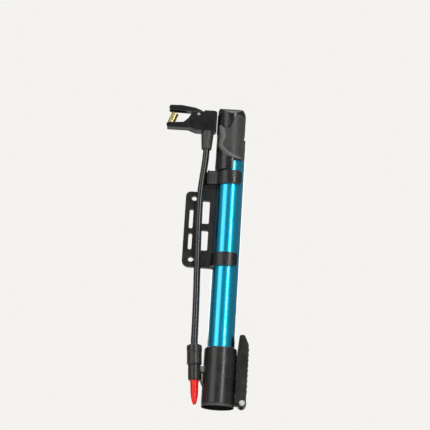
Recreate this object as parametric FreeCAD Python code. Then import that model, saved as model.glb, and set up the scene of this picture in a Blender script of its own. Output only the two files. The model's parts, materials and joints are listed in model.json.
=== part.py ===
import FreeCAD, Part
import math
import os

from FreeCAD import Vector

# Mini floor pump, folded as carried.  Millimetres, +Z along the barrel towards the handle,
# -Y towards the front, hose and bracket on the -X side.  Heights in this script are measured
# from the foot peg's pin; save() lifts every piece so that the ground is at z = 0, and the
# origin is then the centre of the base pad's underside.

# Barrel and base
GROUND_Z = -4.7
BARREL_R = 13.5
BARREL_WALL = 1.5
BARREL_BORE_R = BARREL_R - BARREL_WALL
BARREL_BOTTOM = 38.0
BARREL_TOP = 249.0
BASE_R = 16.2
BASE_TOP = 54.0
BASE_FILLET = 1.8
PAD_T = 2.5
BASE_BOTTOM = GROUND_Z + PAD_T
PAD_R = BASE_R - 0.3
PAD_GROOVE_HALF = 0.6
SKIRT_BORE_R = 13.3
SKIRT_CEILING = 20.0
SEAL_GROOVE_R = BARREL_R + 1.5
SEAL_LOW = 42.0
SEAL_HIGH = 44.0

# Outlet valve below the barrel
SEAT_T = 4.0
SEAT_BOTTOM = BARREL_BOTTOM - SEAT_T
CHAMBER_R = 6.0
CHAMBER_FLOOR = 24.0
DISC_R = 4.6
DISC_T = 1.5
SPRING_COIL_R = 3.2
SPRING_WIRE_R = 0.4
DUCT_R = 1.3
DUCT_Z = 31.6

# Hose, its boss on the base and its nut
HOSE_X = -26.5
HOSE_Y = -5.5
HOSE_R = 3.5
HOSE_BORE_R = 1.7
HOSE_LEAN = 3.5
BOSS_R = 6.2
BOSS_BOTTOM = 20.0
BOSS_TOP = 35.0
BRIDGE_HALF = 4.0
BRIDGE_BOTTOM = 28.2
WEB_HALF = 1.6
WEB_FOOT_Z = 14.0
SPIGOT_R = 4.6
SPIGOT_TOP = 47.0
NUT_BOTTOM = BOSS_TOP + 0.3
NUT_SHOULDER = 48.6
NUT_TOP = 55.0
NUT_GRIP_R = 7.3
NUT_FLUTES = 12
NUT_FLUTE_R = 0.8
BARB_R = 1.9
BARB_BORE_R = 1.0
BARB_FLANGE_R = 3.2
BARB_FLANGE_T = 1.4
LOWER_BARB_Z = 41.0
UPPER_BARB_Z = 260.5
LOWER_PIVOT_Z = 60.5
UPPER_PIVOT_Z = 252.5

# Stowed cone nozzle
NOZZLE_R = 4.0
NOZZLE_FLANGE_R = 4.6
NOZZLE_TIP_Z = GROUND_Z + 1.0
SOCKET_TOP = 29.4

# Foot peg, folded up beside the base
FOOT_X = 23.6
FOOT_Z = 0.0
FOOT_IN = BASE_R + 0.1
FOOT_OUT = 27.4
FOOT_TOP = 67.7
FOOT_HALF = 8.5
FOOT_EYE_R = 4.3
FOOT_HOLLOW_HALF = 6.6
TREAD_COUNT = 9
TREAD_LOW = 12.0
TREAD_PITCH = 5.2
TREAD_R = 0.6
LUG_HALF = 4.8
PIN_R = 2.0
PIN_HEAD_R = 2.9
PIN_HEAD_T = 0.9

# Plunger
ROD_R = 4.0
STUD_R = 2.5
PISTON_R = BARREL_BORE_R - 0.07
PISTON_BOTTOM = 47.0
PISTON_TOP = 55.0
RING_BORE_R = PISTON_R - 1.5
RING_LOW = 49.6
RING_HIGH = 52.4
WASHER_LOW = 44.0
WASHER_HIGH = 45.2
NUT_LOW = 40.0
STUD_END = 39.0
ROD_TOP = 284.0

# Top cap
CAP_R = 13.3
CAP_TOP = 273.0
PLUG_BOTTOM = 238.0
ROD_BUSH_R = 6.0
ROD_BUSH_LOW = 252.0
ROD_BUSH_HIGH = 268.0
WIPER_R = 6.4
WIPER_LOW = 269.2
BUMPER_T = 3.0

# Folding handle
HINGE_Z = 288.0
KNUCKLE_HALF = 5.0
KNUCKLE_R = 8.0
HANDLE_TOP = 303.0
HANDLE_END = 236.0
HANDLE_LEFT = -17.0
HANDLE_RIGHT = 12.0
TONGUE_RIGHT = 1.8
HANDLE_CX = -2.2
HANDLE_CY = -2.1
HANDLE_R = 14.8
HANDLE_BORE_R = CAP_R + 0.4
HANDLE_DOME_R = 17.5
HUB_R = 12.9
HUB_SWING_R = 13.2
HANDLE_PIN_LEFT = -12.2
PAD_SKIN = 1.2
PAD_BACK = -4.0

# Pump head
HEAD_HALF = 6.5
HEAD_RIGHT = -17.5
HEAD_BOTTOM = 277.0
HEAD_TOP = 299.0
CHEEK_TOP = 297.4
JAW_HALF = 4.8
SLOT_HALF = 5.0
SLOT_R = 7.2
LEVER_X = -36.5
LEVER_Z = 294.4
LEVER_PIN_R = 1.4
BUSH_TILT = 21.0
BUSH_X = -65.6
BUSH_Z = 282.7
BUSH_OUT_R = 3.7
BUSH_BORE_R = 3.05
BUSH_LENGTH = 13.6
SEAL_R = 3.35
SEAL_LENGTH = 4.9
FORK_HALF = 3.3
FORK_END_X = -52.0
AIR_DUCT_Z = 281.8
AIR_DUCT_R = 1.0
LEVER_BOSS_R = 4.2
SPRING_HALF = 1.7

# Bracket
BRACKET_BORE_R = BARREL_R + 0.08
BRACKET_BAND_R = 16.2
BAND_END = 11.2
BRACKET_LEFT = -44.3
BRACKET_BOTTOM = 135.4
BRACKET_TOP = 214.2
PLATE_FRONT = -1.5
PLATE_BACK = 3.5
BAND_H = 14.0
UPPER_BAND = 221.4
LOWER_BAND = 135.5
BOLT_X = -35.5
BOLT_Z = 143.2
BOLT_SPACING = 64.0
BOLT_R = 2.6
CLIP_FRONT = -8.6
CLIP_RIGHT = -12.5
HOSE_CLIP_R = HOSE_R + 0.25

Z_AXIS = Vector(0, 0, 1)
Y_AXIS = Vector(0, 1, 0)
X_AXIS = Vector(1, 0, 0)


def save(name, shape):
    """Lift one node to its true height and write it, after checking that its solids are sound."""
    if not shape.isValid():
        raise RuntimeError(name + " is not a valid shape")
    print(name, len(shape.Solids), "solid(s),", round(shape.Volume, 1), "mm3")
    shape.translate(Vector(0, 0, -GROUND_Z))
    shape.exportStep("parts/" + name + ".step")


def rod_z(radius, z0, z1, x=0.0, y=0.0):
    return Part.makeCylinder(radius, z1 - z0, Vector(x, y, z0), Z_AXIS)


def rod_y(radius, x, z, y0, y1):
    return Part.makeCylinder(radius, y1 - y0, Vector(x, y0, z), Y_AXIS)


def rod_x(radius, y, z, x0, x1):
    return Part.makeCylinder(radius, x1 - x0, Vector(x0, y, z), X_AXIS)


def tube(outer, inner, z0, z1, x=0.0, y=0.0):
    return rod_z(outer, z0, z1, x, y).cut(rod_z(inner, z0 - 1, z1 + 1, x, y))


def block(x0, x1, y0, y1, z0, z1):
    return Part.makeBox(x1 - x0, y1 - y0, z1 - z0, Vector(x0, y0, z0))


def turned(profile, x=0.0, y=0.0):
    """Solid of revolution about the vertical line through x, y; profile is (radius, z) pairs."""
    points = [Vector(x + radius, y, z) for radius, z in profile]
    face = Part.Face(Part.makePolygon(points + points[:1]))
    return face.revolve(Vector(x, y, 0), Z_AXIS, 360)


def rounded_plate(corners, y0, y1):
    """Plate in the XZ plane; corners are (x, z, corner radius), the outline runs round them."""
    count = len(corners)
    edges = []
    starts = []
    ends = []
    for i in range(count):
        x, z, radius = corners[i]
        here = Vector(x, y0, z)
        before = Vector(corners[i - 1][0], y0, corners[i - 1][1]) - here
        after = Vector(corners[(i + 1) % count][0], y0, corners[(i + 1) % count][1]) - here
        before.normalize()
        after.normalize()
        if radius == 0:
            starts.append(here)
            ends.append(here)
            continue
        half = before.getAngle(after) / 2
        reach = radius / math.tan(half)
        start = here + before * reach
        end = here + after * reach
        inward = before + after
        inward.normalize()
        middle = here + inward * (radius / math.sin(half) - radius)
        edges.append(Part.Arc(start, middle, end).toShape())
        starts.append(start)
        ends.append(end)
    for i in range(count):
        leave = ends[i]
        arrive = starts[(i + 1) % count]
        if leave.distanceToPoint(arrive) > 1e-6:
            edges.append(Part.makeLine(leave, arrive))
    wire = Part.Wire(Part.__sortEdges__(edges))
    return Part.Face(wire).extrude(Vector(0, y1 - y0, 0))


def coil(radius, wire, z0, height, turns, x=0.0, y=0.0):
    """Round-wire helical spring standing on z0."""
    helix = Part.makeHelix(height / turns, height, radius)
    helix.translate(Vector(x, y, z0))
    start = Vector(x + radius, y, z0)
    section = Part.Wire(Part.makeCircle(wire, start, Y_AXIS))
    return Part.Wire(helix.Edges).makePipeShell([section], True, True)


def hex_bar(across_flats, z0, z1, x=0.0, y=0.0):
    corner = across_flats / math.sqrt(3)
    points = []
    for i in range(6):
        angle = math.radians(60 * i)
        points.append(Vector(x + corner * math.cos(angle), y + corner * math.sin(angle), z0))
    face = Part.Face(Part.makePolygon(points + points[:1]))
    return face.extrude(Vector(0, 0, z1 - z0))


def top_circles(shape, radius, z):
    """Full-circle edges of a given radius at a given height."""
    found = []
    for edge in shape.Edges:
        is_circle = isinstance(edge.Curve, Part.Circle)
        if is_circle and abs(edge.Curve.Radius - radius) < 1e-6 and abs(edge.Curve.Center.z - z) < 1e-6:
            found.append(edge)
    return found


# ---------------------------------------------------------------- base and outlet valve

def lean(shape):
    """Tilts a piece of the hose foot about the hose's lower pivot, its lower end towards the base."""
    shape.rotate(Vector(HOSE_X, HOSE_Y, LOWER_PIVOT_Z), Y_AXIS, -HOSE_LEAN)
    return shape


def base_housing():
    cup = rod_z(BASE_R, BASE_BOTTOM, BASE_TOP)
    cup = cup.makeFillet(BASE_FILLET, top_circles(cup, BASE_R, BASE_TOP))

    boss_x = HOSE_X + (LOWER_PIVOT_Z - DUCT_Z) * math.tan(math.radians(HOSE_LEAN))
    toward_boss = math.degrees(math.atan2(HOSE_Y, boss_x))
    reach = math.hypot(boss_x, HOSE_Y)
    bridge = block(BASE_R - 2, reach, -BRIDGE_HALF, BRIDGE_HALF, BRIDGE_BOTTOM, BOSS_TOP - 0.8)
    web_end = reach - BOSS_R + 0.8
    web_line = [(BASE_R - 2, WEB_FOOT_Z), (BASE_R, WEB_FOOT_Z), (web_end, BOSS_BOTTOM + 2)]
    web_line += [(web_end, BRIDGE_BOTTOM + 0.8), (BASE_R - 2, BRIDGE_BOTTOM + 0.8)]
    web_points = [Vector(radius, -WEB_HALF, z) for radius, z in web_line]
    web = Part.Face(Part.makePolygon(web_points + web_points[:1])).extrude(Vector(0, 2 * WEB_HALF, 0))
    arm = bridge.fuse(web)
    arm.rotate(Vector(0, 0, 0), Z_AXIS, toward_boss)

    boss = rod_z(BOSS_R, BOSS_BOTTOM, BOSS_TOP, HOSE_X, HOSE_Y)
    boss = boss.makeFillet(1.2, top_circles(boss, BOSS_R, BOSS_BOTTOM))
    boss = boss.fuse(rod_z(SPIGOT_R, BOSS_TOP - 1, SPIGOT_TOP, HOSE_X, HOSE_Y))

    lug = block(BASE_R - 2.5, FOOT_X, -LUG_HALF, LUG_HALF, BASE_BOTTOM, FOOT_Z + FOOT_EYE_R)
    lug = lug.fuse(rod_y(FOOT_EYE_R, FOOT_X, FOOT_Z, -LUG_HALF, LUG_HALF))

    body = cup.multiFuse([arm, lean(boss), lug])
    skirt = rod_z(SKIRT_BORE_R, BASE_BOTTOM - 1, SKIRT_CEILING)
    ribs = block(-BARREL_R, BARREL_R, -1, 1, BASE_BOTTOM, SKIRT_CEILING + 1)
    ribs = ribs.fuse(block(-1, 1, -BARREL_R, BARREL_R, BASE_BOTTOM, SKIRT_CEILING + 1))
    body = body.cut(skirt.cut(ribs))
    body = body.cut(rod_z(BARREL_R, SEAT_BOTTOM, BASE_TOP + 1))
    body = body.cut(tube(SEAL_GROOVE_R, BARREL_R - 0.5, SEAL_LOW, SEAL_HIGH))
    body = body.cut(rod_z(CHAMBER_R, CHAMBER_FLOOR, SEAT_BOTTOM + 1))
    body = body.cut(rod_y(PIN_R, FOOT_X, FOOT_Z, -10, 10))

    duct = Part.makeCylinder(DUCT_R, reach, Vector(0, 0, DUCT_Z), X_AXIS)
    duct.rotate(Vector(0, 0, 0), Z_AXIS, toward_boss)
    riser = rod_z(DUCT_R, DUCT_Z, SPIGOT_TOP + 1, HOSE_X, HOSE_Y)
    barb_seat = rod_z(BARB_R, LOWER_BARB_Z, SPIGOT_TOP + 1, HOSE_X, HOSE_Y)
    socket = rod_z(NOZZLE_R + 0.06, BOSS_BOTTOM - 1, SOCKET_TOP, HOSE_X, HOSE_Y)
    return body.cut(duct).cut(lean(riser)).cut(lean(barb_seat)).cut(lean(socket))


def base_pad():
    """Rubber sole with ring grooves in its underside."""
    pad = rod_z(PAD_R, GROUND_Z, BASE_BOTTOM)
    for radius in (5.0, 9.0, 13.0):
        groove = tube(radius + PAD_GROOVE_HALF, radius - PAD_GROOVE_HALF, GROUND_Z - 1, GROUND_Z + 0.6)
        pad = pad.cut(groove)
    return pad


def valve_seat():
    plate = rod_z(BARREL_R, SEAT_BOTTOM, BARREL_BOTTOM)
    plate = plate.cut(tube(5.6, 4.0, SEAT_BOTTOM - 1, SEAT_BOTTOM + 0.8))
    return plate.cut(rod_z(2.2, SEAT_BOTTOM - 1, BARREL_BOTTOM + 1))


def check_disc():
    top = SEAT_BOTTOM - 0.03
    return rod_z(DISC_R, top - DISC_T, top)


def valve_spring():
    bottom = CHAMBER_FLOOR + SPRING_WIRE_R + 0.02
    height = SEAT_BOTTOM - 0.03 - DISC_T - SPRING_WIRE_R - 0.04 - bottom
    return coil(SPRING_COIL_R, SPRING_WIRE_R, bottom, height, 4)


# ---------------------------------------------------------------- hose line

def hose_barb(z0, z1, flange):
    """Brass tail that the hose is pushed over; flange is the height of its collar."""
    body = rod_z(BARB_R, z0, z1, HOSE_X, HOSE_Y)
    body = body.fuse(rod_z(BARB_FLANGE_R, flange, flange + BARB_FLANGE_T, HOSE_X, HOSE_Y))
    return body.cut(rod_z(BARB_BORE_R, z0 - 1, z1 + 1, HOSE_X, HOSE_Y))


def hose_nut():
    """Fluted grip below a plain collar, with a bore that steps in from the spigot to the hose."""
    bore = SPIGOT_R + 0.02
    profile = [(bore, NUT_BOTTOM), (NUT_GRIP_R - 0.5, NUT_BOTTOM), (NUT_GRIP_R, NUT_BOTTOM + 0.6)]
    profile += [(NUT_GRIP_R, 47.8), (7.0, 48.2), (7.6, NUT_SHOULDER), (7.5, NUT_TOP - 0.9)]
    profile += [(6.6, NUT_TOP), (3.7, NUT_TOP), (3.7, NUT_SHOULDER), (bore, NUT_SHOULDER)]
    nut = turned(profile, HOSE_X, HOSE_Y)
    for i in range(NUT_FLUTES):
        angle = math.tau * i / NUT_FLUTES
        x = HOSE_X + (NUT_GRIP_R + 0.5) * math.cos(angle)
        y = HOSE_Y + (NUT_GRIP_R + 0.5) * math.sin(angle)
        nut = nut.cut(rod_z(NUT_FLUTE_R, NUT_BOTTOM + 2.2, 46.6, x, y))
    return lean(nut)


def hose():
    solid = rod_z(HOSE_R, LOWER_PIVOT_Z, UPPER_PIVOT_Z, HOSE_X, HOSE_Y)
    for z in (LOWER_PIVOT_Z, UPPER_PIVOT_Z):
        solid = solid.fuse(Part.makeSphere(HOSE_R, Vector(HOSE_X, HOSE_Y, z)))
    return solid.cut(rod_z(HOSE_BORE_R, 50, 260, HOSE_X, HOSE_Y))


def cone_nozzle():
    """Long slim taper below a flange, with a plug that sits in the boss's socket."""
    plug_top = SOCKET_TOP - 0.4
    flange_top = BOSS_BOTTOM - 0.1
    outside = [(NOZZLE_R, plug_top), (NOZZLE_R, flange_top), (NOZZLE_FLANGE_R, flange_top)]
    outside += [(NOZZLE_FLANGE_R, flange_top - 1.3), (NOZZLE_R, flange_top - 1.8), (3.8, 8.0)]
    outside += [(3.3, 3.2), (2.5, -0.6), (1.3, NOZZLE_TIP_Z), (0.8, NOZZLE_TIP_Z)]
    inside = [(0.8, 8.0), (2.2, 16.0), (2.2, plug_top)]
    return lean(turned(outside + inside, HOSE_X, HOSE_Y))


# ---------------------------------------------------------------- foot peg

def foot_peg():
    """Peg with treads down its outer edge, hollow on the inside and forked round the lug."""
    outline = [(FOOT_IN, FOOT_Z, 0), (FOOT_IN, 48.0, 20.0), (FOOT_IN + 1.6, FOOT_TOP, 2.0)]
    outline += [(FOOT_OUT - 4.4, FOOT_TOP, 2.2), (FOOT_OUT, 58.0, 6.0), (FOOT_OUT, FOOT_Z, 0)]
    arm = rounded_plate(outline, -FOOT_HALF, FOOT_HALF)
    arm = arm.cut(block(FOOT_IN - 1, FOOT_OUT + 1, -20, 20, FOOT_Z - 1, FOOT_Z + 0.01))
    eye = rod_y(FOOT_EYE_R, FOOT_X, FOOT_Z, -FOOT_HALF, FOOT_HALF)
    arm = arm.fuse(eye)
    arm = arm.cut(block(FOOT_IN - 1, FOOT_OUT - 3, -FOOT_HOLLOW_HALF, FOOT_HOLLOW_HALF, 11.0, 62.0))
    fork_half = LUG_HALF + 0.2
    arm = arm.cut(block(FOOT_IN - 1, FOOT_OUT + 1, -fork_half, fork_half, FOOT_Z - 6, FOOT_Z + 6.8))
    for i in range(TREAD_COUNT):
        z = TREAD_LOW + TREAD_PITCH * i
        arm = arm.fuse(rod_y(TREAD_R, FOOT_OUT, z, -FOOT_HALF + 0.6, FOOT_HALF - 0.6))
    return arm.cut(rod_y(PIN_R + 0.05, FOOT_X, FOOT_Z, -10, 10))


def foot_pin():
    pin = rod_y(PIN_R, FOOT_X, FOOT_Z, -FOOT_HALF - 0.2, FOOT_HALF + 0.2)
    for face in (-1, 1):
        start = face * (FOOT_HALF + 0.2)
        low = min(start, start + face * PIN_HEAD_T)
        pin = pin.fuse(rod_y(PIN_HEAD_R, FOOT_X, FOOT_Z, low, low + PIN_HEAD_T))
    return pin


# ---------------------------------------------------------------- plunger

def piston_rod():
    shaft = rod_z(ROD_R, PISTON_TOP, ROD_TOP)
    return shaft.fuse(rod_z(STUD_R, STUD_END, PISTON_TOP))


def piston_body():
    body = rod_z(PISTON_R, PISTON_BOTTOM, PISTON_TOP)
    body = body.cut(tube(PISTON_R + 1, RING_BORE_R, RING_LOW, RING_HIGH))
    return body.cut(rod_z(STUD_R, STUD_END, PISTON_TOP + 1))


def piston_ring():
    return tube(PISTON_R, RING_BORE_R, RING_LOW, RING_HIGH)


def piston_cup():
    """Rubber cup whose lip points down, away from the piston body."""
    profile = [(STUD_R, PISTON_BOTTOM), (PISTON_R - 0.6, PISTON_BOTTOM), (PISTON_R, 42.8)]
    profile += [(PISTON_R - 1.3, 42.6), (PISTON_R - 2.3, WASHER_HIGH), (STUD_R, WASHER_HIGH)]
    return turned(profile)


def piston_washer():
    return tube(6.5, STUD_R, WASHER_LOW, WASHER_HIGH)


def piston_nut():
    nut = hex_bar(9.0, NUT_LOW, WASHER_LOW)
    return nut.cut(rod_z(STUD_R, STUD_END, WASHER_HIGH))


def rod_knuckle():
    eye = rod_x(KNUCKLE_R, 0, HINGE_Z, -KNUCKLE_HALF, KNUCKLE_HALF)
    neck = block(-KNUCKLE_HALF, KNUCKLE_HALF, -7, 7, CAP_TOP + 0.6, HINGE_Z)
    body = eye.fuse(neck)
    body = body.cut(rod_z(ROD_R, CAP_TOP - 3, ROD_TOP))
    return body.cut(rod_x(PIN_R + 0.05, 0, HINGE_Z, -10, 10))


# ---------------------------------------------------------------- top cap

def top_cap():
    """Plug in the barrel's mouth with a turned rim, bored for the rod's bush and wiper."""
    profile = [(ROD_R + 0.4, PLUG_BOTTOM), (BARREL_BORE_R - 0.05, PLUG_BOTTOM)]
    profile += [(BARREL_BORE_R - 0.05, BARREL_TOP), (CAP_R, BARREL_TOP), (CAP_R, 251.5)]
    profile += [(CAP_R - 0.5, 252.0), (CAP_R - 0.5, 253.0), (CAP_R, 253.5), (CAP_R, 270.6)]
    profile += [(CAP_R - 2.4, CAP_TOP), (ROD_R + 0.4, CAP_TOP)]
    cap = turned(profile)
    cap = cap.cut(rod_z(ROD_BUSH_R, ROD_BUSH_LOW, ROD_BUSH_HIGH))
    return cap.cut(rod_z(WIPER_R, WIPER_LOW, CAP_TOP + 1))


def rod_bush():
    return tube(ROD_BUSH_R, ROD_R + 0.06, ROD_BUSH_LOW, ROD_BUSH_HIGH)


def rod_wiper():
    profile = [(ROD_R + 0.05, WIPER_LOW), (WIPER_R, WIPER_LOW), (WIPER_R, CAP_TOP - 0.6)]
    profile += [(5.2, CAP_TOP - 0.6), (ROD_R + 0.05, CAP_TOP - 0.1)]
    return turned(profile)


def end_bumper():
    return tube(BARREL_BORE_R - 1.4, ROD_R + 0.5, PLUG_BOTTOM - BUMPER_T, PLUG_BOTTOM)


# ---------------------------------------------------------------- folding handle

def handle_outline(y0, y1):
    """Front outline of the folded handle: broad over the cap, a tongue down the left side."""
    corners = [(HANDLE_LEFT, HANDLE_END, 3.0), (HANDLE_LEFT, HANDLE_TOP, 4.0)]
    corners += [(HANDLE_RIGHT, HANDLE_TOP, 8.5), (HANDLE_RIGHT, 246.9, 2.0)]
    corners += [(TONGUE_RIGHT, 246.1, 1.6), (TONGUE_RIGHT, HANDLE_END, 2.6)]
    return rounded_plate(corners, y0, y1)


def handle_dome(radius):
    """Round-backed envelope that turns about the hinge."""
    upper = rod_x(radius, HANDLE_CY, HINGE_Z - 1.5, -20, 20)
    return upper.fuse(block(-20, 20, -20, 20, 230, HINGE_Z))


def handle_shell():
    column = rod_z(HANDLE_R, HANDLE_END, HANDLE_TOP + 1, HANDLE_CX, HANDLE_CY)
    shell = column.common(block(-20, 20, -20, -1.6, 230, 310))
    shell = shell.cut(rod_z(HANDLE_BORE_R, 230, CAP_TOP + 3))

    hub = column.fuse(rod_z(HUB_R, HANDLE_END, HANDLE_TOP + 1))
    swing = rod_x(HUB_SWING_R, 0, HINGE_Z, -20, 20)
    hub = hub.common(swing.fuse(block(-20, 20, -20, 11.5, HINGE_Z, 310)))
    body = shell.fuse(hub)
    body = body.common(handle_outline(-30, 30)).common(handle_dome(HANDLE_DOME_R))
    body = body.cut(rod_z(HANDLE_BORE_R, 230, CAP_TOP + 1.4))
    slot = block(-KNUCKLE_HALF - 0.3, KNUCKLE_HALF + 0.3, -8.6, 30, 260, 296.6)
    body = body.cut(slot)
    return body.cut(rod_x(PIN_R, 0, HINGE_Z, HANDLE_PIN_LEFT, 20))


def handle_pad():
    """Soft skin on the front of the handle: S-shaped left edge, scooped out below the hinge."""
    skin = rod_z(HANDLE_R + PAD_SKIN, 240, 310, HANDLE_CX, HANDLE_CY)
    skin = skin.cut(rod_z(HANDLE_R, 239, 311, HANDLE_CX, HANDLE_CY))
    corners = [(-15.3, 284.0, 0.8), (-13.9, 259.4, 7.0), (1.4, 247.4, 2.4), (10.9, 247.6, 1.6)]
    corners += [(10.9, 296.0, 5.0), (1.6, 294.0, 4.0), (-4.6, 276.4, 3.0), (-11.0, 280.6, 2.5)]
    skin = skin.common(rounded_plate(corners, -30, PAD_BACK))
    return skin.common(handle_dome(HANDLE_DOME_R + PAD_SKIN))


def handle_pin():
    return rod_x(PIN_R, 0, HINGE_Z, HANDLE_PIN_LEFT, 10.4)


# ---------------------------------------------------------------- pump head

def head_body():
    """Body over the hose with a slotted top for the lever, and a slim lower jaw to the left."""
    front = HOSE_Y - HEAD_HALF
    back = HOSE_Y + HEAD_HALF
    outline = [(-46.5, 279.8, 2.0), (-38.6, HEAD_BOTTOM, 3.0), (HEAD_RIGHT, HEAD_BOTTOM, 2.5)]
    outline += [(HEAD_RIGHT, HEAD_TOP, 3.0)]
    outline += [(-30.6, HEAD_TOP, 1.2), (-31.4, CHEEK_TOP, 1.0)]
    outline += [(-42.2, CHEEK_TOP, 3.0), (-46.5, 290.5, 3.0)]
    body = rounded_plate(outline, front, back)
    jaw_outline = [(-69.0, 279.4, 2.2), (-40.0, 279.4, 0), (-40.0, 292.0, 0), (-46.5, 290.8, 3.0)]
    jaw_outline += [(-51.5, 285.6, 5.0), (-69.0, 284.4, 2.2)]
    body = body.fuse(rounded_plate(jaw_outline, HOSE_Y - JAW_HALF, HOSE_Y + JAW_HALF))

    slot = rod_y(SLOT_R, LEVER_X, LEVER_Z, HOSE_Y - SLOT_HALF, HOSE_Y + SLOT_HALF)
    throat = block(-60, LEVER_X, HOSE_Y - SLOT_HALF, HOSE_Y + SLOT_HALF, 292.4, 310)
    body = body.cut(slot).cut(throat)
    body = body.cut(rod_y(LEVER_PIN_R, LEVER_X, LEVER_Z, front - 1, back + 1))

    body = body.cut(rod_x(AIR_DUCT_R, HOSE_Y, AIR_DUCT_Z, -65.0, HOSE_X + 0.5))
    body = body.cut(rod_z(BARB_R, HEAD_BOTTOM - 1, AIR_DUCT_Z + 3.2, HOSE_X, HOSE_Y))
    body = body.cut(rod_z(BARB_FLANGE_R, HEAD_BOTTOM - 1, HEAD_BOTTOM + 1.6, HOSE_X, HOSE_Y))
    return body.cut(tilted_rod(BUSH_OUT_R, 0, 14))


def tilted_rod(radius, start, length):
    """Rod on the tilted axis of the brass bush, start measured from the bush's foot."""
    tilt = math.radians(BUSH_TILT)
    along = Vector(math.sin(tilt), 0, math.cos(tilt))
    foot = Vector(BUSH_X, HOSE_Y, BUSH_Z)
    return Part.makeCylinder(radius, length, foot + along * start, along)


def brass_bush():
    body = tilted_rod(BUSH_OUT_R, 0, BUSH_LENGTH)
    for i in range(4):
        groove = tilted_rod(BUSH_OUT_R + 1, 5.2 + 1.9 * i, 0.8)
        body = body.cut(groove.cut(tilted_rod(BUSH_OUT_R - 0.25, 5.0, 9.0)))
    body = body.cut(tilted_rod(SEAL_R, -1, SEAL_LENGTH + 1))
    return body.cut(tilted_rod(BUSH_BORE_R, SEAL_LENGTH - 1, BUSH_LENGTH))


def valve_seal():
    return tilted_rod(SEAL_R - 0.02, 0, SEAL_LENGTH).cut(tilted_rod(1.2, -1, SEAL_LENGTH + 2))


def jaw_lever():
    """Upper jaw: thumb lever with a forked tip over the brass mouth and a hollow pivot boss."""
    front = HOSE_Y - JAW_HALF
    back = HOSE_Y + JAW_HALF
    outline = [(-67.2, 298.4, 1.6), (-67.2, 303.4, 2.4), (-54.0, 303.8, 12.0), (-40.0, 301.8, 10.0)]
    outline += [(-31.6, 298.4, 1.4), (-32.6, 295.0, 1.0), (-40.6, 294.6, 1.0), (-44.5, 297.8, 3.0)]
    lever = rounded_plate(outline, front, back)
    lever = lever.fuse(rod_y(LEVER_BOSS_R, LEVER_X, LEVER_Z, front, back))
    spring_front = HOSE_Y - SPRING_HALF
    spring_back = HOSE_Y + SPRING_HALF
    lever = lever.cut(rod_y(3.3, LEVER_X, LEVER_Z, spring_front, spring_back))
    lever = lever.cut(block(-42, LEVER_X, spring_front, spring_back, LEVER_Z - 5, LEVER_Z + 0.6))
    fork = block(-70, FORK_END_X, HOSE_Y - FORK_HALF, HOSE_Y + FORK_HALF, 296, 308)
    fork = fork.fuse(rod_z(FORK_HALF, 296, 308, FORK_END_X, HOSE_Y))
    return lever.cut(fork).cut(rod_y(LEVER_PIN_R + 0.05, LEVER_X, LEVER_Z, -20, 20))


def lever_pin():
    return rod_y(LEVER_PIN_R, LEVER_X, LEVER_Z, HOSE_Y - HEAD_HALF, HOSE_Y + HEAD_HALF)


def lever_spring():
    spring = coil(2.5, 0.35, 0, 2.4, 3)
    spring.rotate(Vector(0, 0, 0), X_AXIS, -90)
    spring.translate(Vector(LEVER_X, HOSE_Y - 1.2, LEVER_Z))
    return spring


def hose_collar():
    profile = [(3.7, 258.6), (5.0, 258.6), (5.3, 260.0), (6.6, 276.9), (3.7, 276.9)]
    collar = turned(profile, HOSE_X, HOSE_Y)
    for z in (263.0, 266.0, 269.0):
        collar = collar.cut(tube(8.0, 5.3 + 0.077 * (z - 260.0) - 0.4, z, z + 0.9, HOSE_X, HOSE_Y))
    return collar


# ---------------------------------------------------------------- bracket

def band(z0):
    """Springy C-shaped band round the barrel, open on the right."""
    ring = tube(BRACKET_BAND_R, BRACKET_BORE_R, z0, z0 + BAND_H)
    corners = [(-22, z0, 0), (BAND_END, z0, 3.0), (BAND_END, z0 + BAND_H, 3.0), (-22, z0 + BAND_H, 0)]
    ring = ring.common(rounded_plate(corners, -30, 30))
    root = block(-20, -11.5, PLATE_FRONT, PLATE_BACK, z0, z0 + BAND_H)
    root = root.cut(rod_z(BRACKET_BORE_R, z0 - 1, z0 + BAND_H + 1))
    return ring.fuse(root)


def bracket_body():
    outline = [(BRACKET_LEFT, BRACKET_BOTTOM, 7.0), (BRACKET_LEFT, BRACKET_TOP, 5.0)]
    outline += [(-29.5, BRACKET_TOP, 1.5), (-28.5, UPPER_BAND + BAND_H, 2.5)]
    outline += [(-11.5, UPPER_BAND + BAND_H, 0), (-11.5, BRACKET_BOTTOM - 0.5, 0)]
    plate = rounded_plate(outline, PLATE_FRONT, PLATE_BACK)

    for z in (BOLT_Z, BOLT_Z + BOLT_SPACING):
        plate = plate.cut(rod_y(BOLT_R, BOLT_X, z, -10, 10))
    windows = [(-39.4, -35.7, 175.4, 195.6), (-39.0, -35.5, 153.4, 170.4)]
    windows += [(-27.4, -19.6, 181.0, 205.2), (-27.4, -19.6, 153.0, 174.0)]
    for x0, x1, z0, z1 in windows:
        corners = [(x0, z0, 1.4), (x1, z0, 1.4), (x1, z1, 1.4), (x0, z1, 1.4)]
        plate = plate.cut(rounded_plate(corners, -10, 10))

    clip_top = UPPER_BAND + BAND_H
    clip = block(-26.0, CLIP_RIGHT, CLIP_FRONT, PLATE_FRONT + 1, UPPER_BAND, clip_top)
    for x in (-20.6, -18.0, -15.4):
        clip = clip.cut(rod_z(0.55, UPPER_BAND - 1, clip_top + 1, x, CLIP_FRONT))

    body = plate.multiFuse([clip, band(UPPER_BAND), band(LOWER_BAND)])
    body = body.cut(rod_z(HOSE_CLIP_R, UPPER_BAND - 1, clip_top + 1, HOSE_X, HOSE_Y))
    return body.cut(rod_z(BRACKET_BORE_R, LOWER_BAND - 1, clip_top + 1))


def barrel_tube():
    return tube(BARREL_R, BARREL_BORE_R, BARREL_BOTTOM, BARREL_TOP)


def barrel_seal():
    return tube(SEAL_GROOVE_R, BARREL_R, SEAL_LOW, SEAL_HIGH)


os.makedirs("parts", exist_ok=True)

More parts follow.
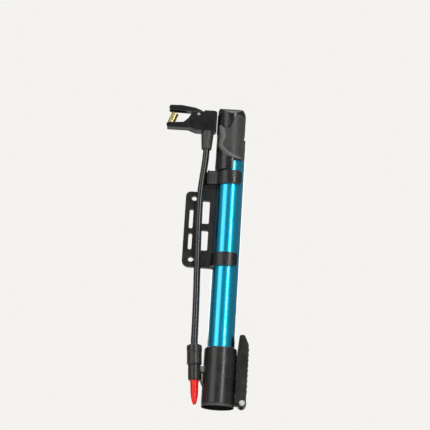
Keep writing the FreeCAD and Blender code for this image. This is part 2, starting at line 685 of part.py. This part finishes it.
NODES = {
    "base_housing": base_housing,
    "base_pad": base_pad,
    "barrel_tube": barrel_tube,
    "barrel_seal": barrel_seal,
    "valve_seat": valve_seat,
    "check_disc": check_disc,
    "valve_spring": valve_spring,
    "hose_nut": hose_nut,
    "hose": hose,
    "cone_nozzle": cone_nozzle,
    "foot_peg": foot_peg,
    "foot_pin": foot_pin,
    "piston_rod": piston_rod,
    "piston_body": piston_body,
    "piston_ring": piston_ring,
    "piston_cup": piston_cup,
    "piston_washer": piston_washer,
    "piston_nut": piston_nut,
    "rod_knuckle": rod_knuckle,
    "top_cap": top_cap,
    "rod_bush": rod_bush,
    "rod_wiper": rod_wiper,
    "end_bumper": end_bumper,
    "handle_shell": handle_shell,
    "handle_pad": handle_pad,
    "handle_pin": handle_pin,
    "head_body": head_body,
    "brass_bush": brass_bush,
    "valve_seal": valve_seal,
    "jaw_lever": jaw_lever,
    "lever_pin": lever_pin,
    "lever_spring": lever_spring,
    "hose_collar": hose_collar,
    "bracket_body": bracket_body,
}

for node, build in NODES.items():
    save(node, build())

save("hose_barb", lean(hose_barb(LOWER_BARB_Z, NUT_TOP - 0.4, SPIGOT_TOP)))
save("head_barb", hose_barb(UPPER_BARB_Z, AIR_DUCT_Z + 1.2, HEAD_BOTTOM + 0.1))
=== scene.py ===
import json
import math

import bpy
import bmesh
from mathutils import Matrix, Vector
from mathutils.bvhtree import BVHTree


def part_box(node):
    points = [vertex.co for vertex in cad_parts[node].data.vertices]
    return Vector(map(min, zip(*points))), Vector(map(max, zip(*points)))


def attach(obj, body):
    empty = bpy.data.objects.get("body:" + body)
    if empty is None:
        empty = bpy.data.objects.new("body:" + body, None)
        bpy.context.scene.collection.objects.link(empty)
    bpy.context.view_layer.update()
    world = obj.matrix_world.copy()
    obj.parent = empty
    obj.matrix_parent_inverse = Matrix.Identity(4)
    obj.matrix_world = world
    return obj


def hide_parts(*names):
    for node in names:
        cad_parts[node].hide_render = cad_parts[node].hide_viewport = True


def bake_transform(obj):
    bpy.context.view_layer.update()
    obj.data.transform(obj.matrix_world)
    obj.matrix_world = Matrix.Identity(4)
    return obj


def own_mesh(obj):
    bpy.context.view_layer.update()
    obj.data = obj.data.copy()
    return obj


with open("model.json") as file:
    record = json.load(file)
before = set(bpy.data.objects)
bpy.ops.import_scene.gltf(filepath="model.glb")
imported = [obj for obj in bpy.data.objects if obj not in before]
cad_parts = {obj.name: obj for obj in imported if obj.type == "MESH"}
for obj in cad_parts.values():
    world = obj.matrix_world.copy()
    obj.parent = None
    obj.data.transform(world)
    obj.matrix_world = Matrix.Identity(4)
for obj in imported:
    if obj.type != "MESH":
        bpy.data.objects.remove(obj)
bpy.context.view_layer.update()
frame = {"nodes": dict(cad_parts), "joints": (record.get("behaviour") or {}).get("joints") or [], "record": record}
NODES = frame["nodes"]

MM = 0.001
EDGE_OPEN = 0.995
EDGE_SHARP = 0.86
BEVEL_SAMPLES = 4


# ---------------------------------------------------------------- finishes

class Finish:
    """A node material built round one Principled shader, with textures sized in millimetres."""

    def __init__(self, name):
        self.material = bpy.data.materials.new(name)
        self.material.use_nodes = True
        self.tree = self.material.node_tree
        self.tree.nodes.clear()
        self.output = self.add("ShaderNodeOutputMaterial")
        self.shader = self.add("ShaderNodeBsdfPrincipled")
        self.join(self.shader.outputs["BSDF"], self.output.inputs["Surface"])
        self.place = self.add("ShaderNodeTexCoord").outputs["Object"]
        self.facing = self.add("ShaderNodeNewGeometry").outputs["Normal"]

    def add(self, kind, **settings):
        node = self.tree.nodes.new(kind)
        for key, value in settings.items():
            setattr(node, key, value)
        return node

    def join(self, source, target):
        self.tree.links.new(source, target)

    def feed(self, target, value):
        """Sets an input to a number or colour, or links another node's output into it."""
        if isinstance(value, bpy.types.NodeSocket):
            self.join(value, target)
        elif isinstance(value, tuple) and len(value) == 3 and target.type == "RGBA":
            target.default_value = value + (1.0,)
        else:
            target.default_value = value

    def set(self, **values):
        for key, value in values.items():
            self.feed(self.shader.inputs[key.replace("_", " ")], value)

    def texture(self, kind, size, stretch=(1, 1, 1), place=None):
        """Texture node with features of about size millimetres, longer along a stretched axis."""
        mapping = self.add("ShaderNodeMapping")
        mapping.inputs["Scale"].default_value = [1 / (size * MM * s) for s in stretch]
        self.join(place or self.place, mapping.inputs["Vector"])
        node = self.add(kind)
        node.inputs["Scale"].default_value = 1.0
        self.join(mapping.outputs["Vector"], node.inputs["Vector"])
        return node

    def noise(self, size, stretch=(1, 1, 1), detail=2.0, rough=0.5, place=None):
        """Cloudy noise."""
        node = self.texture("ShaderNodeTexNoise", size, stretch, place)
        node.inputs["Detail"].default_value = detail
        node.inputs["Roughness"].default_value = rough
        return node.outputs["Fac"]

    def cells(self, size):
        """Distance to the nearest cell centre, for pebbled surfaces."""
        return self.texture("ShaderNodeTexVoronoi", size).outputs["Distance"]

    def span(self, value, low, high, out_low=0.0, out_high=1.0):
        """Maps low..high onto out_low..out_high, held at both ends."""
        node = self.add("ShaderNodeMapRange")
        self.feed(node.inputs["Value"], value)
        limits = {"From Min": low, "From Max": high, "To Min": out_low, "To Max": out_high}
        for key, number in limits.items():
            self.feed(node.inputs[key], number)
        return node.outputs["Result"]

    def maths(self, kind, a, b):
        """Result of a two-input maths operation."""
        node = self.add("ShaderNodeMath", operation=kind)
        self.feed(node.inputs[0], a)
        self.feed(node.inputs[1], b)
        return node.outputs[0]

    def tint(self, factor, a, b):
        """Colour a where the factor is 0, b where it is 1."""
        node = self.add("ShaderNodeMix", data_type="RGBA")
        self.feed(node.inputs["Factor"], factor)
        self.feed(node.inputs[6], a)
        self.feed(node.inputs[7], b)
        return node.outputs[2]

    def edges(self, radius):
        """1 on edges and corners sharper than the radius, 0 on open faces."""
        bevel = self.add("ShaderNodeBevel", samples=BEVEL_SAMPLES)
        bevel.inputs["Radius"].default_value = radius * MM
        dot = self.add("ShaderNodeVectorMath", operation="DOT_PRODUCT")
        self.join(bevel.outputs["Normal"], dot.inputs[0])
        self.join(self.facing, dot.inputs[1])
        return self.span(dot.outputs["Value"], EDGE_OPEN, EDGE_SHARP)

    def relief(self, *layers, round_edges=0.0):
        """Stacks bump layers of (height, depth in millimetres) over softly rounded edges."""
        normal = None
        if round_edges:
            bevel = self.add("ShaderNodeBevel", samples=BEVEL_SAMPLES)
            bevel.inputs["Radius"].default_value = round_edges * MM
            normal = bevel.outputs["Normal"]
        for height, depth in layers:
            bump = self.add("ShaderNodeBump")
            bump.inputs["Distance"].default_value = depth * MM
            self.join(height, bump.inputs["Height"])
            if normal is not None:
                self.join(normal, bump.inputs["Normal"])
            normal = bump.outputs["Normal"]
        self.join(normal, self.shader.inputs["Normal"])


def anodised_blue():
    """Polished and dyed aluminium: drawn streaks, pin flecks, rubbed ends and a clear sealed skin."""
    f = Finish("anodised_blue")
    streak = f.noise(0.7, stretch=(1, 1, 160), detail=4, rough=0.6)
    broad = f.noise(5.0, stretch=(1, 1, 40), detail=2)
    fleck = f.noise(0.5, detail=1)
    rub = f.noise(9.0, stretch=(1, 1, 2.5), detail=5, rough=0.65)
    mixed = f.maths("ADD", f.maths("MULTIPLY", streak, 0.6), f.maths("MULTIPLY", broad, 0.4))
    colour = f.tint(f.span(mixed, 0.36, 0.64), (0.0, 0.37, 0.60), (0.002, 0.43, 0.68))
    colour = f.tint(f.span(fleck, 0.72, 0.80, 0, 0.22), colour, (0.35, 0.62, 0.72))
    worn = f.maths("MULTIPLY", f.edges(0.5), f.span(rub, 0.4, 0.6))
    colour = f.tint(worn, colour, (0.7, 0.78, 0.8))
    rough = f.span(f.maths("ADD", mixed, rub), 0.75, 1.25, 0.25, 0.31)
    f.set(Base_Color=colour, Metallic=1.0, Roughness=rough, Coat_Weight=1.0,
          Coat_Roughness=f.span(rub, 0.35, 0.65, 0.055, 0.07))
    f.relief((streak, 0.0008), (broad, 0.0015))
    return f.material


def moulded(name, dark, light, gloss, grain, depth, wear, sink):
    """Moulded plastic: spark-eroded grain, sink marks, pale rubbed edges and faint scuffs.

    Gloss is its middle roughness; grain, depth and sink are millimetres.
    """
    f = Finish(name)
    cloud = f.noise(14.0, detail=4, rough=0.6)
    hollow = f.noise(8.0, detail=1)
    pebble = f.cells(grain)
    fine = f.noise(grain * 0.6, detail=2)
    hair = f.noise(0.5, stretch=(12, 1, 30), detail=3, rough=0.7)
    colour = f.tint(f.span(cloud, 0.35, 0.65), dark, light)
    edge = f.maths("MULTIPLY", f.edges(0.9), f.span(f.noise(2.6, detail=4, rough=0.7), 0.36, 0.66))
    colour = f.tint(f.maths("MULTIPLY", edge, 0.7), colour, wear)
    line = f.span(hair, 0.66, 0.74, 0, 0.25)
    colour = f.tint(line, colour, wear)
    skin = f.span(cloud, 0.3, 0.7, gloss - 0.06, gloss + 0.07)
    rough = f.maths("ADD", skin, f.maths("MULTIPLY", line, 0.3))
    f.set(Base_Color=colour, Roughness=rough, Specular_IOR_Level=0.42)
    f.relief((pebble, depth), (fine, depth * 0.5), (hollow, sink), round_edges=0.5)
    return f.material


def soft_touch(name, dark, light):
    """Over-moulded grip: matt grey with a velvety sheen and fine pits."""
    f = Finish(name)
    cloud = f.noise(10.0, detail=5, rough=0.6)
    pits = f.cells(0.9)
    colour = f.tint(f.span(cloud, 0.35, 0.65), dark, light)
    colour = f.tint(f.maths("MULTIPLY", f.edges(1.0), 0.4), colour, tuple(2.2 * c for c in light))
    f.set(Base_Color=colour, Roughness=f.span(cloud, 0.3, 0.7, 0.42, 0.6), Sheen_Weight=0.1,
          Sheen_Roughness=0.5)
    f.relief((pits, 0.05), (f.noise(0.4), 0.03), (cloud, 0.12), round_edges=0.6)
    return f.material


def glossy_hose():
    """Extruded rubber: glossy, with faint lines along its length and dusty bloom."""
    f = Finish("glossy_hose")
    line = f.noise(0.8, stretch=(1, 1, 60), detail=3, rough=0.6)
    bloom = f.noise(6.0, stretch=(1, 1, 2), detail=5, rough=0.65)
    ripple = f.noise(2.2, stretch=(2, 2, 1), detail=2)
    colour = f.tint(f.span(bloom, 0.42, 0.7), (0.004, 0.004, 0.0043), (0.010, 0.0098, 0.0095))
    f.set(Base_Color=colour, Roughness=f.span(bloom, 0.35, 0.68, 0.16, 0.24), Specular_IOR_Level=0.5,
          Coat_Weight=0.25, Coat_Roughness=0.06)
    f.relief((line, 0.0008), (ripple, 0.008))
    return f.material


def plain_rubber():
    """Moulded rubber: dusty black, pale at its edges, with a fine grain."""
    f = Finish("plain_rubber")
    cloud = f.noise(5.0, detail=5, rough=0.65)
    colour = f.tint(f.span(cloud, 0.35, 0.68), (0.016, 0.016, 0.016), (0.045, 0.043, 0.041))
    colour = f.tint(f.maths("MULTIPLY", f.edges(0.6), 0.35), colour, (0.12, 0.115, 0.11))
    f.set(Base_Color=colour, Roughness=f.span(cloud, 0.3, 0.7, 0.42, 0.66))
    f.relief((f.cells(0.8), 0.03), (f.noise(0.35), 0.02), round_edges=0.3)
    return f.material


def red_gloss():
    """Bright red moulding with soft depth, flow marks and a polished skin."""
    f = Finish("red_gloss")
    flow = f.noise(5.0, stretch=(1, 1, 2.5), detail=4, rough=0.6)
    colour = f.tint(f.span(flow, 0.35, 0.65), (0.50, 0.003, 0.002), (0.66, 0.008, 0.004))
    colour = f.tint(f.maths("MULTIPLY", f.edges(0.5), 0.35), colour, (0.80, 0.07, 0.04))
    f.set(Base_Color=colour, Roughness=f.span(flow, 0.3, 0.7, 0.24, 0.34), Specular_IOR_Level=0.3,
          Coat_Weight=0.15, Coat_Roughness=0.08, Subsurface_Weight=0.08, Subsurface_Scale=0.002)
    f.relief((f.noise(1.6, stretch=(1, 1, 2)), 0.03), (f.noise(0.4), 0.008), round_edges=0.3)
    return f.material


def turned_metal(name, low, high, stain, rough, tilt=0.0):
    """Metal from the lathe: fine rings across the piece's tilted axis, tarnish and bright edges."""
    f = Finish(name)
    turn = f.add("ShaderNodeVectorRotate", rotation_type="Y_AXIS")
    turn.inputs["Angle"].default_value = tilt
    f.join(f.place, turn.inputs["Vector"])
    rings = f.noise(0.35, stretch=(60, 60, 1), detail=3, rough=0.7, place=turn.outputs["Vector"])
    cloud = f.noise(3.0, detail=5, rough=0.65)
    colour = f.tint(f.span(cloud, 0.34, 0.62), low, high)
    colour = f.tint(f.span(f.noise(1.4, detail=4, rough=0.7), 0.58, 0.78, 0, 0.7), colour, stain)
    colour = f.tint(f.maths("MULTIPLY", f.edges(0.3), 0.6), colour, tuple(min(1.0, c * 1.25) for c in high))
    varied = f.span(f.maths("ADD", cloud, rings), 0.7, 1.3, rough - 0.07, rough + 0.12)
    f.set(Base_Color=colour, Metallic=1.0, Roughness=varied)
    f.relief((rings, 0.012), (cloud, 0.02), round_edges=0.15)
    return f.material


def drawn_chrome():
    """Chromed rod: hairlines along its length under a thin film of grease."""
    f = Finish("drawn_chrome")
    line = f.noise(0.4, stretch=(1, 1, 200), detail=3, rough=0.7)
    film = f.noise(7.0, stretch=(1, 1, 4), detail=5, rough=0.6)
    colour = f.tint(f.span(film, 0.3, 0.7), (0.62, 0.63, 0.65), (0.86, 0.86, 0.87))
    rough = f.span(f.maths("ADD", line, film), 0.7, 1.3, 0.06, 0.2)
    f.set(Base_Color=colour, Metallic=1.0, Roughness=rough)
    f.relief((line, 0.004), (film, 0.01))
    return f.material


def acetal():
    """Natural acetal: off-white and slightly translucent."""
    f = Finish("acetal")
    cloud = f.noise(4.0, detail=4, rough=0.6)
    colour = f.tint(f.span(cloud, 0.35, 0.65), (0.66, 0.64, 0.58), (0.80, 0.79, 0.74))
    f.set(Base_Color=colour, Roughness=f.span(cloud, 0.3, 0.7, 0.3, 0.48), Subsurface_Weight=0.15,
          Subsurface_Scale=0.002)
    f.relief((f.noise(0.6), 0.02), round_edges=0.3)
    return f.material


BUSH_TILT = math.radians(21.0)

CHARCOAL = moulded("charcoal_nylon", (0.0075, 0.007, 0.0065), (0.014, 0.013, 0.012), gloss=0.27,
                   grain=0.75, depth=0.014, wear=(0.085, 0.082, 0.078), sink=0.06)
CHARCOAL_NODES = ("base_housing", "hose_nut")
NYLON = moulded("black_nylon", (0.005, 0.005, 0.005), (0.010, 0.0095, 0.009), gloss=0.29,
                grain=0.75, depth=0.020, wear=(0.065, 0.063, 0.06), sink=0.15)
GLOSS = moulded("gloss_black", (0.004, 0.004, 0.004), (0.009, 0.009, 0.009), gloss=0.2,
                grain=1.3, depth=0.010, wear=(0.07, 0.07, 0.07), sink=0.45)
LIP = soft_touch("grip_lip", (0.060, 0.059, 0.056), (0.095, 0.093, 0.088))
FINISHES = {
    "barrel_blue": anodised_blue(),
    "black_nylon": NYLON,
    "black_gloss": GLOSS,
    "soft_grip": soft_touch("soft_grip", (0.012, 0.012, 0.0115), (0.024, 0.0235, 0.022)),
    "black_rubber": plain_rubber(),
    "hose_rubber": glossy_hose(),
    "red_plastic": red_gloss(),
    "brass": turned_metal("turned_brass", (0.40, 0.31, 0.12), (0.60, 0.49, 0.22),
                          stain=(0.24, 0.17, 0.07), rough=0.30, tilt=BUSH_TILT),
    "steel": turned_metal("turned_steel", (0.50, 0.50, 0.49), (0.72, 0.71, 0.69),
                          stain=(0.30, 0.27, 0.24), rough=0.28),
    "rod_chrome": drawn_chrome(),
    "white_acetal": acetal(),
}


# ---------------------------------------------------------------- CAD nodes that stay

# Moulded nodes that get soft corners: (voxel size in mm, rounds of smoothing)
SOFTENED = {
    "handle_shell": (0.35, 10),
    "head_body": (0.3, 6),
    "jaw_lever": (0.3, 6),
    "bracket_body": (0.35, 5),
    "foot_peg": (0.3, 4),
    "base_housing": (0.4, 4),
    "handle_pad": (0.3, 4),
    "rod_knuckle": (0.3, 6),
}


def soften(node, voxel, rounds):
    """Gives a moulded node the small all-round radii of its tool: fine remesh, then smoothing."""
    obj = NODES[node]
    remesh = obj.modifiers.new("skin", "REMESH")
    remesh.mode = "VOXEL"
    remesh.voxel_size = voxel * MM
    remesh.use_smooth_shade = True
    smooth = obj.modifiers.new("radii", "SMOOTH")
    smooth.factor = 0.5
    smooth.iterations = rounds


SLOT_OF = {part["node"]: part["material_slot"] for part in frame["record"]["subparts"]}
for node, obj in NODES.items():
    obj.data.materials.clear()
    obj.data.materials.append(CHARCOAL if node in CHARCOAL_NODES else FINISHES[SLOT_OF[node]])

for node, (voxel, rounds) in SOFTENED.items():
    soften(node, voxel, rounds)

# The valve's spring gets a mesh of its own; the real spring shortens as its disc drops
JOINT = {joint["name"]: joint for joint in frame["joints"]}
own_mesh(NODES["valve_spring"])


# ---------------------------------------------------------------- hose

HOSE_SIDES = 48
HOSE_STEP = 1.2 * MM


def to_object(name, bm, finish):
    """Makes a smooth-shaded object with one finish from a bmesh, and frees the bmesh."""
    mesh = bpy.data.meshes.new(name)
    bm.to_mesh(mesh)
    bm.free()
    mesh.polygons.foreach_set("use_smooth", [True] * len(mesh.polygons))
    mesh.materials.append(finish)
    obj = bpy.data.objects.new(name, mesh)
    bpy.context.scene.collection.objects.link(obj)
    return obj


def pipe(name, centres, outer, inner, slot):
    """Hollow pipe along a list of centres, its bore open at both ends."""
    bm = bmesh.new()
    rings = []
    for i, centre in enumerate(centres):
        ahead = centres[min(i + 1, len(centres) - 1)] - centres[max(i - 1, 0)]
        turn = Vector((0, 0, 1)).rotation_difference(ahead)
        for radius in (outer, inner):
            ring = []
            for k in range(HOSE_SIDES):
                a = math.tau * k / HOSE_SIDES
                spoke = Vector((radius * math.cos(a), radius * math.sin(a), 0))
                ring.append(bm.verts.new(centre + turn @ spoke))
            rings.append(ring)
    last = len(rings) - 2
    for i in range(0, last, 2):
        for k in range(HOSE_SIDES):
            n = (k + 1) % HOSE_SIDES
            bm.faces.new((rings[i][k], rings[i][n], rings[i + 2][n], rings[i + 2][k]))
            bm.faces.new((rings[i + 1][n], rings[i + 1][k], rings[i + 3][k], rings[i + 3][n]))
    for k in range(HOSE_SIDES):
        n = (k + 1) % HOSE_SIDES
        bm.faces.new((rings[1][k], rings[1][n], rings[0][n], rings[0][k]))
        bm.faces.new((rings[last][k], rings[last][n], rings[last + 1][n], rings[last + 1][k]))
    obj = to_object(name, bm, FINISHES[slot])
    return obj


hose_lo, hose_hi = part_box("hose")
HOSE_CENTRE = (hose_lo + hose_hi) / 2
HOSE_OUTER = (hose_hi.x - hose_lo.x) / 2
HOSE_INNER = 1.95 * MM
LEAN = math.radians(3.5)
PIVOT_Z = JOINT["hose_swing"]["pos_m"][2]
NUT_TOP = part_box("hose_nut")[1].z
COLLAR_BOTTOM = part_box("hose_collar")[0].z
COLLAR_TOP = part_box("hose_collar")[1].z
BARB_SEAT = 7.4 * MM
HOSE_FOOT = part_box("hose_barb")[0].z + BARB_SEAT
BOW_DROP = 30 * MM
BOW_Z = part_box("bracket_body")[1].z - BOW_DROP
BOW = 3.4 * MM


def hose_point(z):
    """Centre of the hose at a height: it leans at its foot, and bows outwards most at BOW_Z."""
    if z <= PIVOT_Z or z >= COLLAR_BOTTOM:
        return Vector((HOSE_CENTRE.x + max(0.0, PIVOT_Z - z) * math.tan(LEAN), HOSE_CENTRE.y, z))
    if z < BOW_Z:
        t = (z - NUT_TOP) / (BOW_Z - NUT_TOP)
    else:
        t = (COLLAR_BOTTOM - z) / (COLLAR_BOTTOM - BOW_Z)
    push = t * t * (3 - 2 * t)
    return Vector((HOSE_CENTRE.x - BOW * push, HOSE_CENTRE.y, z))


def hose_piece(name, z0, z1):
    """Length of the hose between two heights."""
    count = round((z1 - z0) / HOSE_STEP)
    centres = [hose_point(z0 + (z1 - z0) * i / count) for i in range(count + 1)]
    return pipe(name, centres, HOSE_OUTER, HOSE_INNER, "hose_rubber")


HOSE_MIDDLE = (NUT_TOP + COLLAR_BOTTOM) / 2
hose_lower = hose_piece("hose_lower", HOSE_FOOT, HOSE_MIDDLE)
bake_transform(hose_lower)
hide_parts("hose")
hose_upper = hose_piece("hose_upper", HOSE_MIDDLE, COLLAR_TOP)
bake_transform(hose_upper)


# ---------------------------------------------------------------- raised detail

IN_FRONT = -100 * MM
BEAD_SIDES = 10
BEAD_BURIED = 0.12 * MM
BEAD_BACK = 0.5 * MM
BEAD_SQUARENESS = 0.8


def front_finder(*nodes):
    """Function giving the frontmost point of the named nodes at a place (x, z)."""
    trees = []
    for node in nodes:
        mesh = NODES[node].data
        corners = [vertex.co for vertex in mesh.vertices]
        trees.append(BVHTree.FromPolygons(corners, [face.vertices for face in mesh.polygons]))

    def find(x, z):
        hits = [tree.ray_cast(Vector((x, IN_FRONT, z)), Vector((0, 1, 0)))[0] for tree in trees]
        return min((hit for hit in hits if hit), key=lambda hit: hit.y)

    return find


def catmull_rom(a, b, c, d, t):
    """Value a share t of the way from b to c on a smooth curve through all four."""
    square = 2 * a - 5 * b + 4 * c - d
    cube = 3 * b - a - 3 * c + d
    return 0.5 * (2 * b + (c - a) * t + square * t * t + cube * t ** 3)


def smooth_path(stations, steps):
    """Smooth curve through stations, which are tuples of equal length."""
    ends = [stations[0]] + stations + [stations[-1]]
    path = []
    for i in range(len(stations) - 1):
        for k in range(steps):
            path.append(tuple(catmull_rom(*four, k / steps) for four in zip(*ends[i:i + 4])))
    path.append(stations[-1])
    return path


def bead(name, path, height, find, finish, closed=False):
    """Half-round bead laid on a front surface along (x, z, width) points, its open ends tapered."""
    bm = bmesh.new()
    rows = []
    count = len(path)
    for i, (x, z, width) in enumerate(path):
        ahead = path[(i + 1) % count if closed else min(i + 1, count - 1)]
        behind = path[i - 1 if closed else max(i - 1, 0)]
        along = Vector((ahead[0] - behind[0], ahead[1] - behind[1])).normalized()
        across = Vector((along.y, -along.x))
        fade = 1.0 if closed else min(1.0, 4 * min(i + 1, count - i) / count) ** 0.5
        row = []
        for k in range(BEAD_SIDES + 1):
            a = math.pi * k / BEAD_SIDES
            reach = -math.cos(a) * width / 2 * (0.4 + 0.6 * fade)
            proud = math.sin(a) ** BEAD_SQUARENESS * height * fade
            base = find(x + across.x * reach, z + across.y * reach)
            row.append(bm.verts.new(base + Vector((0, BEAD_BURIED - proud, 0))))
        for k in range(BEAD_SIDES, -1, -1):
            row.append(bm.verts.new(row[k].co + Vector((0, BEAD_BACK, 0))))
        rows.append(row)
    turns = count if closed else count - 1
    for i in range(turns):
        for k in range(len(rows[0])):
            n = (k + 1) % len(rows[0])
            j = (i + 1) % count
            bm.faces.new((rows[i][k], rows[i][n], rows[j][n], rows[j][k]))
    if not closed:
        bm.faces.new(rows[0])
        bm.faces.new(rows[-1][::-1])
    bmesh.ops.recalc_face_normals(bm, faces=bm.faces)
    obj = to_object(name, bm, finish)
    return obj


handle_front = front_finder("handle_shell", "handle_pad")
pad_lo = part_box("handle_pad")[0]

# S-shaped lip round the left and lower edge of the grip: (x, z, width) in mm from the lower left
# corner of the pad's box
LIP_HEIGHT = 1.1 * MM
LIP_STEPS = 10
LIP_LINE = [(1.6, 36.0, 3.2), (3.6, 30.5, 5.0), (4.9, 22.8, 5.0), (3.0, 14.0, 3.8), (6.5, 8.6, 3.6),
            (12.0, 3.9, 3.4), (18.0, 1.6, 3.2), (24.6, 1.4, 2.2)]
lip_stations = [(pad_lo.x + x * MM, pad_lo.z + z * MM, width * MM) for x, z, width in LIP_LINE]
lip_path = smooth_path(lip_stations, LIP_STEPS)
grip_lip = bead("grip_lip", lip_path, LIP_HEIGHT, handle_front, LIP)
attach(grip_lip, "handle")

# Oval rim of the thumb pocket, placed from the same corner
POCKET_X = pad_lo.x + 6.4 * MM
POCKET_Z = pad_lo.z + 39.6 * MM
POCKET_HALF_WIDTH = 4.7 * MM
POCKET_HALF_HEIGHT = 6.9 * MM
RIM_WIDTH = 1.0 * MM
RIM_HEIGHT = 0.45 * MM
RIM_STEPS = 72
rim_path = []
for i in range(RIM_STEPS):
    a = math.tau * i / RIM_STEPS
    x = POCKET_X + POCKET_HALF_WIDTH * math.cos(a)
    z = POCKET_Z + POCKET_HALF_HEIGHT * math.sin(a)
    rim_path.append((x, z, RIM_WIDTH))
pocket_rim = bead("pocket_rim", rim_path, RIM_HEIGHT, handle_front, GLOSS, closed=True)
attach(pocket_rim, "handle")


# ---------------------------------------------------------------- floor, light and camera

FLOOR_R = 4.0
FADE_START = 0.35
FADE_END = 1.5
LIGHT_TARGET = Vector((0, 0, 0.155))


def pale_floor():
    """Pale card that fades with distance, and is clear from below and to shadow rays."""
    f = Finish("pale_floor")
    cloud = f.noise(260.0, detail=4)
    colour = f.tint(f.span(cloud, 0.3, 0.7), (0.80, 0.79, 0.77), (0.84, 0.83, 0.81))
    f.set(Base_Color=colour, Roughness=0.6)
    clear = f.add("ShaderNodeBsdfTransparent")
    shadow = f.add("ShaderNodeLightPath").outputs["Is Shadow Ray"]
    away = f.add("ShaderNodeVectorMath", operation="LENGTH")
    f.join(f.place, away.inputs[0])
    fade = f.span(away.outputs["Value"], FADE_START, FADE_END)
    below = f.add("ShaderNodeNewGeometry").outputs["Backfacing"]
    pick = f.add("ShaderNodeMixShader")
    f.join(f.maths("MAXIMUM", below, f.maths("MAXIMUM", shadow, fade)), pick.inputs["Fac"])
    f.join(f.shader.outputs["BSDF"], pick.inputs[1])
    f.join(clear.outputs["BSDF"], pick.inputs[2])
    f.join(pick.outputs["Shader"], f.output.inputs["Surface"])
    return f.material


def floor():
    """Round floor under the pump; a camera or a light below it looks straight through."""
    bm = bmesh.new()
    bmesh.ops.create_circle(bm, cap_ends=True, segments=96, radius=FLOOR_R)
    to_object("floor", bm, pale_floor())


def softbox(name, azimuth, distance, height, width, tall, power):
    """Rectangular studio light on a circle round the pump, aimed at its middle; metres and watts."""
    light = bpy.data.lights.new(name, "AREA")
    light.shape = "RECTANGLE"
    light.size = width
    light.size_y = tall
    light.energy = power
    obj = bpy.data.objects.new(name, light)
    a = math.radians(azimuth)
    obj.location = Vector((distance * math.sin(a), -distance * math.cos(a), height))
    aim = LIGHT_TARGET - obj.location
    obj.rotation_euler = aim.to_track_quat("-Z", "Y").to_euler()
    obj.visible_camera = False
    bpy.context.scene.collection.objects.link(obj)


def surroundings():
    """Near-white for the camera, a softer grey room for light and reflections."""
    world = bpy.data.worlds.new("studio")
    world.use_nodes = True
    tree = world.node_tree
    tree.nodes.clear()
    output = tree.nodes.new("ShaderNodeOutputWorld")
    seen = tree.nodes.new("ShaderNodeBackground")
    seen.inputs["Color"].default_value = (0.905, 0.893, 0.870, 1)
    room = tree.nodes.new("ShaderNodeBackground")
    place = tree.nodes.new("ShaderNodeTexCoord")
    parts = tree.nodes.new("ShaderNodeSeparateXYZ")
    ramp = tree.nodes.new("ShaderNodeValToRGB")
    stops = ramp.color_ramp.elements
    stops[0].position, stops[0].color = 0.30, (0.14, 0.14, 0.145, 1)
    stops[1].position, stops[1].color = 0.95, (0.55, 0.55, 0.54, 1)
    middle_stop = stops.new(0.55)
    middle_stop.color = (0.20, 0.20, 0.20, 1)
    lift = tree.nodes.new("ShaderNodeMapRange")
    lift.inputs["From Min"].default_value = -1.0
    lift.inputs["From Max"].default_value = 1.0
    tree.links.new(place.outputs["Generated"], parts.inputs[0])
    tree.links.new(parts.outputs["Z"], lift.inputs["Value"])
    tree.links.new(lift.outputs["Result"], ramp.inputs["Fac"])
    tree.links.new(ramp.outputs["Color"], room.inputs["Color"])
    path = tree.nodes.new("ShaderNodeLightPath")
    pick = tree.nodes.new("ShaderNodeMixShader")
    tree.links.new(path.outputs["Is Camera Ray"], pick.inputs["Fac"])
    tree.links.new(room.outputs["Background"], pick.inputs[1])
    tree.links.new(seen.outputs["Background"], pick.inputs[2])
    tree.links.new(pick.outputs["Shader"], output.inputs["Surface"])
    bpy.context.scene.world = world


floor()
surroundings()
softbox("key", azimuth=25, distance=1.3, height=0.35, width=0.13, tall=1.5, power=11)
softbox("fill", azimuth=-44, distance=1.3, height=0.35, width=0.75, tall=1.2, power=6)
softbox("overhead", azimuth=10, distance=0.35, height=1.7, width=1.6, tall=1.6, power=20)
softbox("under", azimuth=0, distance=1.1, height=-0.5, width=0.5, tall=0.5, power=2.5)
softbox("rear_left", azimuth=-158, distance=1.6, height=0.9, width=0.5, tall=1.0, power=5)
softbox("rear_right", azimuth=162, distance=1.6, height=0.9, width=0.4, tall=1.0, power=4)

# The camera stands in front and below, looks up at the pump and is rolled a little
LENS = 125.0
DISTANCE = 1.5
AIM = Vector((-0.0137, -0.0115, PIVOT_Z + 0.1272))
RISE = math.radians(-16.5)
ROLL = math.radians(3.5)

camera = bpy.data.objects.new("camera", bpy.data.cameras.new("camera"))
bpy.context.scene.collection.objects.link(camera)
camera.data.lens = LENS
camera.data.sensor_width = 36.0
camera.data.clip_start = 0.05
camera.data.clip_end = 20.0
backwards = Vector((0, -math.cos(RISE), math.sin(RISE)))
camera.location = AIM + backwards * DISTANCE
straight = (-backwards).to_track_quat("-Z", "Y").to_matrix()
camera.rotation_euler = (straight @ Matrix.Rotation(ROLL, 3, "Z")).to_euler()
bpy.context.scene.camera = camera
bpy.context.scene.view_settings.view_transform = "Standard"
